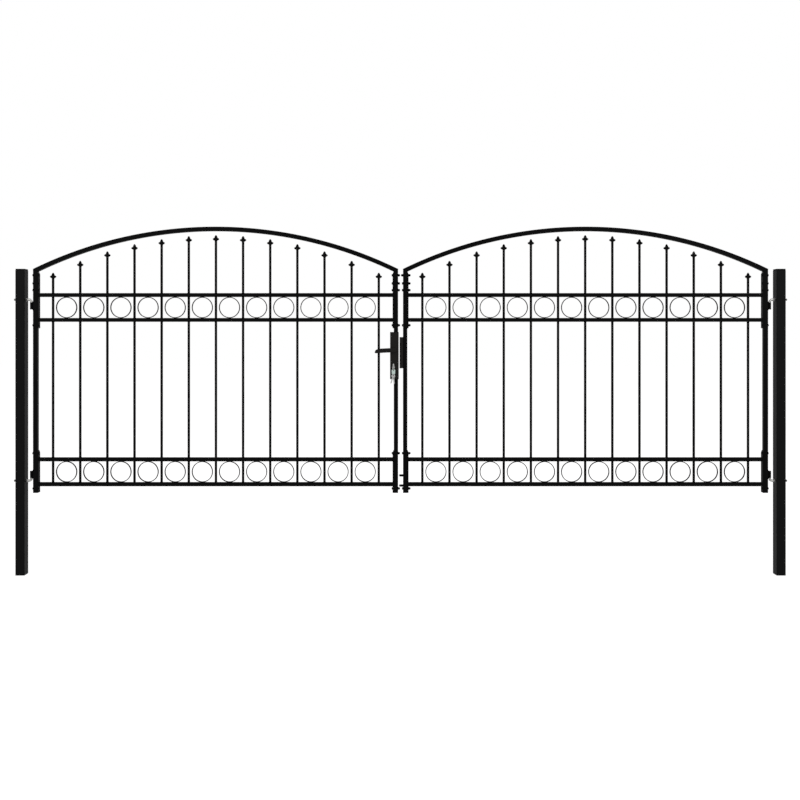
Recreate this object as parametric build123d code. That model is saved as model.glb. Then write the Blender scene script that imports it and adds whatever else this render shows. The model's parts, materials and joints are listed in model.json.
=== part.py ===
"""Arched double gate of black powder-coated steel, with its two posts, all in millimetres.

The origin is the centre of the left post's foot. X runs along the gate to the right post,
Y runs through the gate away from the street, and Z is up. The two leaves are mirror images:
each left part is made once and mirrored about the middle of the gate.
"""
import math
import os

from build123d import *

# Posts
OVERALL_WIDTH = 5000.0
POST_SIDE = 60.0
POST_HEIGHT = 1990.0
POST_CORNER = 2.5
POST_CAP_THICKNESS = 3.0

# Leaf frame, a bent square tube over two stiles
FRAME_TUBE = 28.0
FRAME_TUBE_CORNER = 1.5
POST_TO_LEAF_GAP = 48.0
MEETING_GAP = 32.0
STILE_BOTTOM = 533.0
ARCH_SPRING = 1991.0
ARCH_CROWN = 2266.0
STILE_CAP_THICKNESS = 3.0

# Rails and panel brackets
RAIL_FACE = 25.0
RAIL_DEPTH = 25.0
RAIL_CORNER = 1.0
TOP_RAIL_HEIGHT = 1821.0
THIRD_RAIL_HEIGHT = 750.0
RING_BAND_PITCH = 162.0
BRACKET_THICKNESS = 8.0
BRACKET_CHAMFER = 5.0
UPPER_BRACKET_TOP = 1971.0
UPPER_BRACKET_BOTTOM = 1604.0
LOWER_BRACKET_TOP = 808.0

# Bars, spear finials and rings
BAR_COUNT = 13
BAR_SIDES = 8
BAR_RADIUS = 7.6
BAR_PITCH = 177.0
BAR_HOLE_CLEARANCE = 0.05
TIP_ARC_CROWN = 2212.0
TIP_ARC_RADIUS = 2424.0
FINIAL_HEIGHT = 41.0
FINIAL_HALF_DEPTH = 8.0
FINIAL_BLADE_LENGTH = 20.0
FINIAL_BLADE_HALF = 10.5
FINIAL_ARM_DROP = 27.0
FINIAL_ARM_HALF = 21.0
FINIAL_ARM_END = 7.0
FINIAL_COLLAR_HALF = 8.0
FINIAL_COLLAR_HEIGHT = 7.0
RING_SIDES = 12
RING_BAR = 5.0
RING_DEPTH = 10.0

# Hinges: a bent threaded gudgeon in the post and an eye welded on the stile
GUDGEON_RADIUS = 5.0
GUDGEON_SIDES = 12
GUDGEON_BEND = 12.0
GUDGEON_HOLE_CLEARANCE = 0.25
GUDGEON_STUB = 19.0
HINGE_AXIS_FROM_LEAF = 15.0
UPPER_SHANK_HEIGHT = 1791.0
LOWER_SHANK_HEIGHT = 611.0
EYE_SIDES = 16
EYE_RADIUS = 8.0
EYE_CLEARANCE = 0.08
EYE_LENGTH = 46.0
EYE_FROM_SHANK = 18.0
EYE_LUG_OVERHANG = 18.0
EYE_LUG_THICKNESS = 5.0
SHOULDER_ACROSS_FLATS = 13.0
SHOULDER_THICKNESS = 4.0
SHOULDER_GAP = 0.3

# Lock on the left leaf's meeting stile
CASE_BOTTOM = 1273.0
CASE_TOP = 1580.0
CASE_BEHIND_STILE = 24.0
CASE_PAST_STILE = 4.0
CASE_DEPTH = 40.0
CASE_CORNER = 2.0
SPINDLE_HEIGHT = 1462.0
SPINDLE_BEHIND_EDGE = 27.0
SPINDLE_SIDE = 8.0
SPINDLE_HOLE_RADIUS = 6.5
LEVER_REACH = 130.0
LEVER_HALF_HEIGHT = 13.5
LEVER_THICKNESS = 9.0
LEVER_STANDOFF = 26.0
LEVER_NECK_RADIUS = 9.0
LEVER_RETURN = 16.0
LEVER_CHAMFER = 2.0
LEVER_GAP = 0.5
LEVER_DROOP = 2.5
LEVER_HEEL = 9.5
LEVER_HEEL_HALF = 8.0
LEVER_TIP_RUN = 11.0
LEVER_FOOT = 4.0
LEVER_FOOT_DROP = 15.0
CYLINDER_HEIGHT = 1350.0
CYLINDER_BEHIND_EDGE = 34.0
CYLINDER_RADIUS = 8.5
CYLINDER_TAIL_WIDTH = 10.0
CYLINDER_TAIL_RISE = 24.0
CYLINDER_PROUD = 4.0
KEY_THICKNESS = 2.2
KEY_BOW_RADIUS = 11.5
KEY_BOW_SIDES = 8
KEY_SHOULDER = 3.0
KEY_BLADE_WIDTH = 8.0
KEY_BLADE_LENGTH = 34.0
KEY_HOLE_RADIUS = 3.5
KEY_HOLE_OFFSET = 6.0
KEY_RING_RADIUS = 10.4
KEY_WIRE = 1.8
TAG_WIDTH = 28.0
TAG_HEIGHT = 32.0
TAG_THICKNESS = 3.0
TAG_CORNER = 6.0
SMALL_RING_RADIUS = 6.0
SPARE_KEY_TILT = 7.0
SPARE_KEY_SPREAD = 3.5

# Keeper and drop-rod guides on the right leaf's meeting stile
KEEPER_BOTTOM = 1344.0
KEEPER_TOP = 1547.0
KEEPER_REACH = 22.5
KEEPER_DEPTH = 36.0
STRIKE_SPANS = ((1376.0, 1418.0), (1478.0, 1518.0))
STRIKE_DEPTH = 16.0
STRIKE_WIDTH = 20.0
GUIDE_HEIGHTS = (645.0, 579.0)
GUIDE_REACH = 25.0
GUIDE_THICKNESS = 12.0
GUIDE_DEPTH = 22.0
GUIDE_HOLE_RADIUS = 6.5
GUIDE_HOLE_SIDES = 12

# Places worked out from the driving dimensions
POST_AXIS_SPACING = OVERALL_WIDTH - POST_SIDE
GATE_CENTRE = POST_AXIS_SPACING / 2
LEAF_START = POST_SIDE / 2 + POST_TO_LEAF_GAP
LEAF_END = GATE_CENTRE - MEETING_GAP / 2
LEAF_WIDTH = LEAF_END - LEAF_START
LEAF_MIDDLE = (LEAF_START + LEAF_END) / 2
HINGE_AXIS = LEAF_START - HINGE_AXIS_FROM_LEAF
ARCH_RISE = ARCH_CROWN - ARCH_SPRING
ARCH_RADIUS = ((LEAF_WIDTH / 2) ** 2 + ARCH_RISE ** 2) / (2 * ARCH_RISE)
ARCH_CENTRE = ARCH_CROWN - ARCH_RADIUS
INNER_ARCH_RADIUS = ARCH_RADIUS - FRAME_TUBE
INNER_CORNER = ARCH_CENTRE + math.sqrt(INNER_ARCH_RADIUS ** 2 - (LEAF_WIDTH / 2 - FRAME_TUBE) ** 2)
ARCH_HALF_ANGLE = math.degrees(math.asin((LEAF_WIDTH / 2 + FRAME_TUBE) / ARCH_RADIUS))
RAIL_HEIGHTS = {
    "top_rail": TOP_RAIL_HEIGHT,
    "second_rail": TOP_RAIL_HEIGHT - RING_BAND_PITCH,
    "third_rail": THIRD_RAIL_HEIGHT,
    "bottom_rail": THIRD_RAIL_HEIGHT - RING_BAND_PITCH,
}
BAR_FOOT = RAIL_HEIGHTS["bottom_rail"] + RAIL_FACE / 2
RING_RADIUS = (RING_BAND_PITCH - RAIL_FACE) / 2
FIRST_BAR = LEAF_MIDDLE - BAR_PITCH * (BAR_COUNT - 1) / 2
BAR_PLACES = [FIRST_BAR + BAR_PITCH * i for i in range(BAR_COUNT)]
RING_PLACES = [x + BAR_PITCH / 2 for x in BAR_PLACES[:-1]]
SPINDLE_X = LEAF_END + CASE_PAST_STILE - SPINDLE_BEHIND_EDGE
CYLINDER_X = LEAF_END + CASE_PAST_STILE - CYLINDER_BEHIND_EDGE


def block(x0, x1, y0, y1, z0, z1):
    """A box between two opposite corners."""
    middle = Pos((x0 + x1) / 2, (y0 + y1) / 2, (z0 + z1) / 2)
    return middle * Box(x1 - x0, y1 - y0, z1 - z0)


def rod(x, y, z, radius, length, direction):
    """A round rod that starts at a point and runs along a direction."""
    start = Plane(origin=(x, y, z), z_dir=direction)
    return extrude(start * Circle(radius), length)


def prism(x, z, sides, apothem, length):
    """An upright prism of few sides in the plane of the gate, from a height upwards."""
    outline = RegularPolygon(apothem, sides, major_radius=False, rotation=180 / sides)
    return extrude(Plane(origin=(x, 0, z), z_dir=(0, 0, 1)) * outline, length)


def plate(points, half_depth):
    """A flat plate whose outline is drawn in the plane of the gate."""
    outline = Plane.XZ * make_face(Polyline(*points, close=True))
    return extrude(outline, half_depth, both=True)


def across(part):
    """The same part on the other leaf, mirrored about the middle of the gate."""
    return mirror(part, about=Plane.YZ.offset(GATE_CENTRE))


def post():
    """The left post, drilled for its two gudgeons."""
    half = POST_SIDE / 2
    cap = POST_CAP_THICKNESS
    body = block(-half, half, -half, half, cap, POST_HEIGHT - cap)
    body = chamfer(body.edges().filter_by(Axis.Z), POST_CORNER)
    for height in (UPPER_SHANK_HEIGHT, LOWER_SHANK_HEIGHT):
        hole_radius = GUDGEON_RADIUS + GUDGEON_HOLE_CLEARANCE
        body -= rod(-POST_SIDE, 0, height, hole_radius, 2 * POST_SIDE, (1, 0, 0))
    return body


def post_end_plate(low):
    """A flat plastic cap that closes one end of the left post."""
    half = POST_SIDE / 2
    cap = block(-half, half, -half, half, low, low + POST_CAP_THICKNESS)
    return chamfer(cap.edges().filter_by(Axis.Z), POST_CORNER)


def gudgeon(shank_height, turn):
    """A bent rod: through the post along X, then up or down into the hinge eye.

    The rod that turns up has a hexagonal shoulder under the eye, which carries the leaf.
    """
    start = (-POST_SIDE / 2 - GUDGEON_STUB, 0, shank_height)
    corner = (HINGE_AXIS, 0, shank_height)
    end = (HINGE_AXIS, 0, shank_height + turn * (EYE_FROM_SHANK + EYE_LENGTH))
    path = FilletPolyline(start, corner, end, radius=GUDGEON_BEND)
    section = RegularPolygon(GUDGEON_RADIUS, GUDGEON_SIDES)
    section = Plane(origin=start, z_dir=(1, 0, 0)) * section
    body = sweep(section, path=path)
    if turn > 0:
        seat = shank_height + EYE_FROM_SHANK - SHOULDER_GAP - SHOULDER_THICKNESS
        body += prism(HINGE_AXIS, seat, 6, SHOULDER_ACROSS_FLATS / 2, SHOULDER_THICKNESS)
    return body


def hinge_eye(shank_height, turn):
    """A bored eye on a welded lug, round the gudgeon's pin."""
    near = shank_height + turn * EYE_FROM_SHANK
    far = near + turn * EYE_LENGTH
    low = min(near, far)
    high = max(near, far)
    wall = HINGE_AXIS + (GUDGEON_RADIUS + EYE_RADIUS) / 2
    outside = HINGE_AXIS + EYE_RADIUS
    lug = plate(
        [
            (wall, low), (outside, low), (LEAF_START, low - EYE_LUG_OVERHANG),
            (LEAF_START, high + EYE_LUG_OVERHANG), (outside, high), (wall, high),
        ],
        EYE_LUG_THICKNESS / 2,
    )
    eye = prism(HINGE_AXIS, low, EYE_SIDES, EYE_RADIUS, EYE_LENGTH) + lug
    bore = GUDGEON_RADIUS + EYE_CLEARANCE
    return eye - prism(HINGE_AXIS, low, EYE_SIDES, bore, EYE_LENGTH)


def hinge_stile():
    """The stile beside the post, its top cut on the arch's mitre."""
    inner = LEAF_START + FRAME_TUBE
    bottom = STILE_BOTTOM + STILE_CAP_THICKNESS
    outline = [
        (LEAF_START, bottom), (inner, bottom), (inner, INNER_CORNER), (LEAF_START, ARCH_SPRING),
    ]
    stile = plate(outline, FRAME_TUBE / 2)
    return chamfer(stile.edges().filter_by(Axis.Z), FRAME_TUBE_CORNER)


def plain_meeting_stile():
    """The stile at the middle of the gate, before the lock is let into it."""
    return mirror(hinge_stile(), about=Plane.YZ.offset(LEAF_MIDDLE))


def lock_meeting_stile():
    """The left leaf's meeting stile, drilled for the lever's spindle and the lock cylinder."""
    stile = plain_meeting_stile()
    stile -= rod(SPINDLE_X, FRAME_TUBE, SPINDLE_HEIGHT, SPINDLE_HOLE_RADIUS, 2 * FRAME_TUBE, (0, -1, 0))
    return stile - cylinder_profile(FRAME_TUBE)


def stile_cap(x0):
    """A plastic plug's head under one stile."""
    half = FRAME_TUBE / 2
    top = STILE_BOTTOM + STILE_CAP_THICKNESS
    cap = block(x0, x0 + FRAME_TUBE, -half, half, STILE_BOTTOM, top)
    return chamfer(cap.edges().filter_by(Axis.Z), FRAME_TUBE_CORNER)


def arch():
    """The bent tube over the leaf, mitred to both stiles."""
    section_place = Plane(origin=(LEAF_MIDDLE, 0, ARCH_CROWN - FRAME_TUBE / 2), z_dir=(1, 0, 0))
    square = Rectangle(FRAME_TUBE, FRAME_TUBE)
    section = section_place * chamfer(square.vertices(), FRAME_TUBE_CORNER)
    bend_axis = Axis((LEAF_MIDDLE, 0, ARCH_CENTRE), (0, 1, 0))
    hoop = revolve(section, bend_axis, 2 * ARCH_HALF_ANGLE)
    hoop = hoop.rotate(bend_axis, -ARCH_HALF_ANGLE)
    mitre_drop = ARCH_SPRING - INNER_CORNER
    low_end = (LEAF_START + 2 * FRAME_TUBE, INNER_CORNER - mitre_drop)
    high_end = (LEAF_START - FRAME_TUBE, ARCH_SPRING + mitre_drop)
    left_points = [low_end, high_end, (high_end[0], ARCH_CROWN + FRAME_TUBE)]
    right_points = [(2 * LEAF_MIDDLE - x, z) for x, z in reversed(left_points)]
    return hoop & plate(left_points + right_points, FRAME_TUBE)


def rail(height, punched):
    """A rail between the panel brackets, punched where the bars go through."""
    inset = FRAME_TUBE + BRACKET_THICKNESS
    deep = RAIL_DEPTH / 2
    half = RAIL_FACE / 2
    body = block(LEAF_START + inset, LEAF_END - inset, -deep, deep, height - half, height + half)
    body = chamfer(body.edges().filter_by(Axis.X), RAIL_CORNER)
    if punched:
        hole = BAR_RADIUS + BAR_HOLE_CLEARANCE
        for x in BAR_PLACES:
            body -= prism(x, height - RAIL_FACE, BAR_SIDES, hole, 2 * RAIL_FACE)
    return body


def panel_bracket(stile_face, side, low, high):
    """A flat bracket bolted to a stile, with its free corners cut off."""
    out = stile_face + side * BRACKET_THICKNESS
    step = stile_face + side * (BRACKET_THICKNESS - BRACKET_CHAMFER)
    drop = 3 * BRACKET_CHAMFER
    outline = [(stile_face, low), (out, low), (out, high - drop), (step, high), (stile_face, high)]
    return plate(outline, FRAME_TUBE / 2)


def panel_brackets():
    """The four brackets that hold the infill panel in the leaf's frame."""
    hinge_face = LEAF_START + FRAME_TUBE
    meeting_face = LEAF_END - FRAME_TUBE
    return [
        panel_bracket(hinge_face, 1, UPPER_BRACKET_BOTTOM, UPPER_BRACKET_TOP),
        panel_bracket(hinge_face, 1, STILE_BOTTOM, LOWER_BRACKET_TOP),
        panel_bracket(meeting_face, -1, UPPER_BRACKET_BOTTOM, UPPER_BRACKET_TOP),
        panel_bracket(meeting_face, -1, STILE_BOTTOM, LOWER_BRACKET_TOP),
    ]


def tip_height(x):
    """The height of a spear's tip, on an arc a little flatter in reach than the arch."""
    reach = x - LEAF_MIDDLE
    return TIP_ARC_CROWN - TIP_ARC_RADIUS + math.sqrt(TIP_ARC_RADIUS ** 2 - reach ** 2)


def bar(x):
    """A round bar from the bottom rail up to its finial."""
    length = tip_height(x) - FINIAL_HEIGHT - BAR_FOOT
    return prism(x, BAR_FOOT, BAR_SIDES, BAR_RADIUS, length)


def finial():
    """A forged spear with two blunt side points over a square collar, its tip at the origin.

    Its outline seen from the street is crossed with its outline seen along the gate.
    """
    collar_top = FINIAL_COLLAR_HEIGHT - FINIAL_HEIGHT
    right = [
        (FINIAL_BLADE_HALF, -FINIAL_BLADE_LENGTH),
        (FINIAL_ARM_HALF, FINIAL_ARM_END / 2 - FINIAL_ARM_DROP),
        (FINIAL_ARM_HALF, -FINIAL_ARM_END / 2 - FINIAL_ARM_DROP),
        (FINIAL_COLLAR_HALF, collar_top),
        (FINIAL_COLLAR_HALF, -FINIAL_HEIGHT),
    ]
    left = [(-x, z) for x, z in reversed(right)]
    front = plate([(0, 0)] + right + left, FINIAL_HALF_DEPTH)
    depth = FINIAL_HALF_DEPTH
    side_outline = Polyline(
        (0, 0), (depth, -FINIAL_ARM_DROP), (depth, -FINIAL_HEIGHT),
        (-depth, -FINIAL_HEIGHT), (-depth, -FINIAL_ARM_DROP), close=True,
    )
    side = Plane.YZ * make_face(side_outline)
    return front & extrude(side, FINIAL_ARM_HALF, both=True)


def flat_ring(outside, width, thickness, sides):
    """A flat ring of few sides, upright and facing the street."""
    rotation = 180 / sides
    hoop = RegularPolygon(outside, sides, major_radius=False, rotation=rotation)
    hoop -= RegularPolygon(outside - width, sides, major_radius=False, rotation=rotation)
    return extrude(Plane.XZ * hoop, thickness / 2, both=True)


def ring(x, height):
    """A ring of flat bar that rests on the rails above and below it."""
    return Pos(x, 0, height) * flat_ring(RING_RADIUS, RING_BAR, RING_DEPTH, RING_SIDES)


def ring_row(upper_rail):
    """The twelve rings under one rail, one between each two bars."""
    return [ring(x, RAIL_HEIGHTS[upper_rail] - RING_BAND_PITCH / 2) for x in RING_PLACES]


def cylinder_profile(depth):
    """The lock cylinder's section, its round plug below a narrow tail, carried through the gate."""
    section = Pos(CYLINDER_X, CYLINDER_HEIGHT) * Circle(CYLINDER_RADIUS)
    rise = CYLINDER_TAIL_RISE - CYLINDER_TAIL_WIDTH / 2
    tail = Pos(CYLINDER_X, CYLINDER_HEIGHT + rise / 2) * Rectangle(CYLINDER_TAIL_WIDTH, rise)
    top = Pos(CYLINDER_X, CYLINDER_HEIGHT + rise) * Circle(CYLINDER_TAIL_WIDTH / 2)
    return extrude(Plane.XZ * (section + tail + top), depth, both=True)


def lock_case():
    """The long lock box that wraps the meeting stile."""
    left = LEAF_END - FRAME_TUBE - CASE_BEHIND_STILE
    right = LEAF_END + CASE_PAST_STILE
    case = block(left, right, -CASE_DEPTH / 2, CASE_DEPTH / 2, CASE_BOTTOM, CASE_TOP)
    case = chamfer(case.edges().filter_by(Axis.Z), CASE_CORNER)
    case -= plain_meeting_stile()
    case -= rod(SPINDLE_X, CASE_DEPTH, SPINDLE_HEIGHT, SPINDLE_HOLE_RADIUS, 2 * CASE_DEPTH, (0, -1, 0))
    return case - cylinder_profile(CASE_DEPTH)


def lever():
    """The street side's lever handle: a round neck, a tapered grip that droops, and its return."""
    face = -CASE_DEPTH / 2 - LEVER_GAP
    grip_y = -CASE_DEPTH / 2 - LEVER_STANDOFF
    neck = rod(SPINDLE_X, face, SPINDLE_HEIGHT, LEVER_NECK_RADIUS, LEVER_STANDOFF - LEVER_GAP, (0, -1, 0))
    half = LEVER_HALF_HEIGHT
    tip = SPINDLE_X - LEVER_REACH
    outline = [
        (SPINDLE_X + LEVER_HEEL, SPINDLE_HEIGHT + LEVER_HEEL_HALF),
        (SPINDLE_X, SPINDLE_HEIGHT + half),
        (tip + LEVER_TIP_RUN, SPINDLE_HEIGHT + half),
        (tip, SPINDLE_HEIGHT - LEVER_HEEL_HALF),
        (tip + LEVER_FOOT, SPINDLE_HEIGHT - LEVER_FOOT_DROP),
        (SPINDLE_X, SPINDLE_HEIGHT - half),
        (SPINDLE_X + LEVER_HEEL, SPINDLE_HEIGHT - LEVER_HEEL_HALF),
    ]
    grip = Pos(0, grip_y, 0) * plate(outline, LEVER_THICKNESS / 2)
    grip = chamfer(grip.faces().sort_by(Axis.Y)[0].edges(), LEVER_CHAMFER)
    stub_left = tip + LEVER_FOOT
    stub = block(
        stub_left, stub_left + LEVER_THICKNESS, grip_y, grip_y + LEVER_RETURN,
        SPINDLE_HEIGHT - half, SPINDLE_HEIGHT,
    )
    turning_axis = Axis((SPINDLE_X, 0, SPINDLE_HEIGHT), (0, -1, 0))
    return (neck + grip + stub).rotate(turning_axis, LEVER_DROOP)


def lever_spindle():
    """The square bar that joins the two levers through the lock."""
    half = SPINDLE_SIDE / 2
    reach = CASE_DEPTH / 2 + LEVER_GAP
    return block(
        SPINDLE_X - half, SPINDLE_X + half, -reach, reach,
        SPINDLE_HEIGHT - half, SPINDLE_HEIGHT + half,
    )


def lock_cylinder():
    """The lock cylinder, a little proud of both faces of the case."""
    return cylinder_profile(CASE_DEPTH / 2 + CYLINDER_PROUD)


def key_blank():
    """A key seen face on: a round bow at the origin, drilled off centre, and a blade below."""
    half = KEY_BLADE_WIDTH / 2
    length = KEY_BOW_RADIUS + KEY_SHOULDER + KEY_BLADE_LENGTH
    turn = 180 / KEY_BOW_SIDES
    bow = RegularPolygon(KEY_BOW_RADIUS, KEY_BOW_SIDES, major_radius=False, rotation=turn)
    hole = RegularPolygon(KEY_HOLE_RADIUS, KEY_BOW_SIDES, major_radius=False, rotation=turn)
    blade_points = [
        (-half, 0), (-half, -length), (0, -length - half / 2), (half, -length + half), (half, 0),
    ]
    outline = bow + make_face(Polyline(*blade_points, close=True))
    outline -= Pos(0, KEY_HOLE_OFFSET) * hole
    return extrude(Plane.XZ * outline, KEY_THICKNESS / 2, both=True)


def key_bunch():
    """The key in the cylinder, its ring and tag, and two spare keys on a smaller ring."""
    key_face = -CASE_DEPTH / 2 - CYLINDER_PROUD
    bow_y = key_face - KEY_SHOULDER - KEY_BOW_RADIUS
    ring_y = bow_y - KEY_HOLE_OFFSET
    blade_end = KEY_SHOULDER + KEY_BOW_RADIUS
    key = key_blank() & block(-POST_SIDE, POST_SIDE, -POST_SIDE, POST_SIDE, -blade_end, POST_SIDE)
    key = Pos(CYLINDER_X, bow_y, CYLINDER_HEIGHT) * Rot(0, 0, 90) * Rot(90, 0, 0) * key
    wire_mean = KEY_RING_RADIUS - KEY_WIRE / 2
    big_ring = Rot(0, 0, 45) * flat_ring(KEY_RING_RADIUS, KEY_WIRE, KEY_WIRE, KEY_BOW_SIDES)
    big_ring = Pos(CYLINDER_X, ring_y, CYLINDER_HEIGHT - wire_mean) * big_ring
    tag_hole = CYLINDER_HEIGHT - 2 * wire_mean
    half = TAG_WIDTH / 2
    tag_top = tag_hole + KEY_HOLE_OFFSET
    tag = block(-half, half, -TAG_THICKNESS / 2, TAG_THICKNESS / 2, tag_top - TAG_HEIGHT, tag_top)
    tag = chamfer(tag.edges().filter_by(Axis.Y), TAG_CORNER)
    small_hole = tag_top - TAG_HEIGHT + KEY_HOLE_OFFSET
    for height in (tag_hole, small_hole):
        tag -= Pos(0, 0, height) * rod(0, TAG_THICKNESS, 0, KEY_HOLE_RADIUS, 2 * TAG_THICKNESS, (0, -1, 0))
    tag = Pos(CYLINDER_X, ring_y, 0) * tag
    small_mean = SMALL_RING_RADIUS - KEY_WIRE / 2
    small_ring = Rot(0, 0, 90) * flat_ring(SMALL_RING_RADIUS, KEY_WIRE, KEY_WIRE, KEY_BOW_SIDES)
    small_ring = Pos(CYLINDER_X, ring_y, small_hole - small_mean) * small_ring
    spares = []
    for side in (-1, 1):
        spare = Rot(0, side * SPARE_KEY_TILT, 0) * Pos(0, 0, -KEY_HOLE_OFFSET) * key_blank()
        place = Pos(CYLINDER_X, ring_y + side * SPARE_KEY_SPREAD / 2, small_hole - 2 * small_mean)
        spares.append(place * spare)
    return [key, big_ring, tag, small_ring] + spares


def keeper_box():
    """The keeper on the right leaf, with a strike pocket each for the dead bolt and the latch."""
    stile_edge = LEAF_END + MEETING_GAP
    left = stile_edge - KEEPER_REACH
    half = KEEPER_DEPTH / 2
    shell = block(left, stile_edge, -half, half, KEEPER_BOTTOM, KEEPER_TOP)
    shell = chamfer(shell.edges().filter_by(Axis.Z).sort_by(Axis.X)[:2], CASE_CORNER)
    strike = STRIKE_WIDTH / 2
    for low, high in STRIKE_SPANS:
        shell -= block(left, left + STRIKE_DEPTH, -strike, strike, low, high)
    return shell


def drop_rod_guide(height):
    """A drilled lug that guided the drop rod, on the right leaf."""
    stile_edge = LEAF_END + MEETING_GAP
    left = stile_edge - GUIDE_REACH
    half = GUIDE_DEPTH / 2
    lug = block(left, stile_edge, -half, half, height - GUIDE_THICKNESS / 2, height + GUIDE_THICKNESS / 2)
    under = height - GUIDE_THICKNESS
    return lug - prism(left + half, under, GUIDE_HOLE_SIDES, GUIDE_HOLE_RADIUS, 2 * GUIDE_THICKNESS)


def save(name, parts):
    """Write one named sub-part, of one solid or of several that do not touch."""
    if not isinstance(parts, list):
        parts = [parts]
    solids = [solid for part in parts for solid in part.solids()]
    shape = solids[0] if len(solids) == 1 else Compound(children=solids)
    shape.label = name
    export_step(shape, f"parts/{name}.step")
    print(name, len(solids))


def save_leaf(side, place):
    """Write what both leaves have, the right leaf's mirrored from the left leaf's."""
    save(f"{side}_hinge_stile", place(hinge_stile()))
    save(f"{side}_arch", place(arch()))
    for name, height in RAIL_HEIGHTS.items():
        save(f"{side}_{name}", place(rail(height, name != "bottom_rail")))
    save(f"{side}_bars", [place(bar(x)) for x in BAR_PLACES])
    spear = finial()
    save(f"{side}_finials", [place(Pos(x, 0, tip_height(x)) * spear) for x in BAR_PLACES])
    save(f"{side}_upper_rings", [place(hoop) for hoop in ring_row("top_rail")])
    save(f"{side}_lower_rings", [place(hoop) for hoop in ring_row("third_rail")])
    save(f"{side}_panel_brackets", [place(bracket) for bracket in panel_brackets()])
    eyes = [hinge_eye(UPPER_SHANK_HEIGHT, -1), hinge_eye(LOWER_SHANK_HEIGHT, 1)]
    save(f"{side}_hinge_eyes", [place(eye) for eye in eyes])
    caps = [stile_cap(LEAF_START), stile_cap(LEAF_END - FRAME_TUBE)]
    save(f"{side}_stile_caps", [place(cap) for cap in caps])


def unchanged(part):
    """The left leaf's parts stay where they were made."""
    return part


os.makedirs("parts", exist_ok=True)

save("left_post", post())
save("right_post", across(post()))
top_plate = post_end_plate(POST_HEIGHT - POST_CAP_THICKNESS)
save("post_caps", [top_plate, across(top_plate)])
foot_plate = post_end_plate(0)
save("foot_caps", [foot_plate, across(foot_plate)])
gudgeons = [gudgeon(UPPER_SHANK_HEIGHT, -1), gudgeon(LOWER_SHANK_HEIGHT, 1)]
save("left_gudgeons", gudgeons)
save("right_gudgeons", [across(bent_rod) for bent_rod in gudgeons])

save_leaf("left", unchanged)
save_leaf("right", across)
save("left_meeting_stile", lock_meeting_stile())
save("right_meeting_stile", across(plain_meeting_stile()))
save("lock_case", lock_case())
save("lock_cylinder", lock_cylinder())
handle = lever()
save("lever_handles", [handle, mirror(handle, about=Plane.XZ)])
save("lever_spindle", lever_spindle())
save("key_bunch", key_bunch())
save("keeper_box", keeper_box())
save("drop_rod_guides", [drop_rod_guide(height) for height in GUIDE_HEIGHTS])
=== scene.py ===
# %% [markdown]
# # A black double gate with arched leaves
# The object is a driveway gate of powder-coated steel tube: two posts, two leaves under bent
# arches, spear-topped bars, a band of rings at the top and one at the foot, and a lever lock.
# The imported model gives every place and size. This lesson dresses it: each piece of tube is
# made again with its real rounded corners, and welds, bolts, threads and keys are added.

import json

import bpy
import numpy as np
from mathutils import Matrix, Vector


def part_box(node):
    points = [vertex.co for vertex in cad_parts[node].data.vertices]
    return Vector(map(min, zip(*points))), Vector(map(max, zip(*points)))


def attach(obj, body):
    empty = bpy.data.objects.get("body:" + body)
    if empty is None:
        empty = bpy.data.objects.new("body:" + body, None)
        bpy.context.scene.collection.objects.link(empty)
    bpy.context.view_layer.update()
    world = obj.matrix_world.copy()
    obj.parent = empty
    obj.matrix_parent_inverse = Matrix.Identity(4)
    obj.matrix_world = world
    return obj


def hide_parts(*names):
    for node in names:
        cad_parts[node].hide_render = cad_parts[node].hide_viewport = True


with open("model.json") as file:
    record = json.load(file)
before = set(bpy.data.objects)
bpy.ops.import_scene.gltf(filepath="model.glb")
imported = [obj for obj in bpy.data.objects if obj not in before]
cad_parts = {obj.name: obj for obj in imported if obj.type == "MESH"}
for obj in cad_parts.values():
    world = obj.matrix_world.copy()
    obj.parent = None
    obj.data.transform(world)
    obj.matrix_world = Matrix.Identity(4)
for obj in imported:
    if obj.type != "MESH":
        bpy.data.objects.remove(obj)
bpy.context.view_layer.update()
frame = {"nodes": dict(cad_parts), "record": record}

# %% [markdown]
# ## Places read from the model
# A gate is laid out from a few lines: the middle of the opening, the outside of each leaf, the
# rail heights and the bar spacing. They are read from the model's boxes, so that a piece made
# here lies where the model has it. Only the left leaf is laid out, because the right leaf is
# its mirror image.

# %% Read the main lines of the gate
MM = 0.001


def corners(node):
    """The lowest and highest corner of a node, as two arrays in metres."""
    low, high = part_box(node)
    return np.array(low), np.array(high)


post_low, post_high = corners("left_post")
gate_middle = (post_low[0] + corners("right_post")[1][0]) / 2
hinge_stile_low, hinge_stile_high = corners("left_hinge_stile")
leaf_start = hinge_stile_low[0]
leaf_end = corners("left_meeting_stile")[1][0]
leaf_middle = (leaf_start + leaf_end) / 2
leaf_half = (leaf_end - leaf_start) / 2
tube = hinge_stile_high[1] - hinge_stile_low[1]
arch_spring = hinge_stile_high[2]
arch_crown = corners("left_arch")[1][2]
print("leaf from", leaf_start, "to", leaf_end, "and its arch from", arch_spring, "to", arch_crown)

# %% Read the bars, spears and rings
BAR_COUNT = 13
FINIAL_HEIGHT = 41 * MM
RING_ROWS = (("upper", "top_rail", "second_rail"), ("lower", "third_rail", "bottom_rail"))

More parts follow.
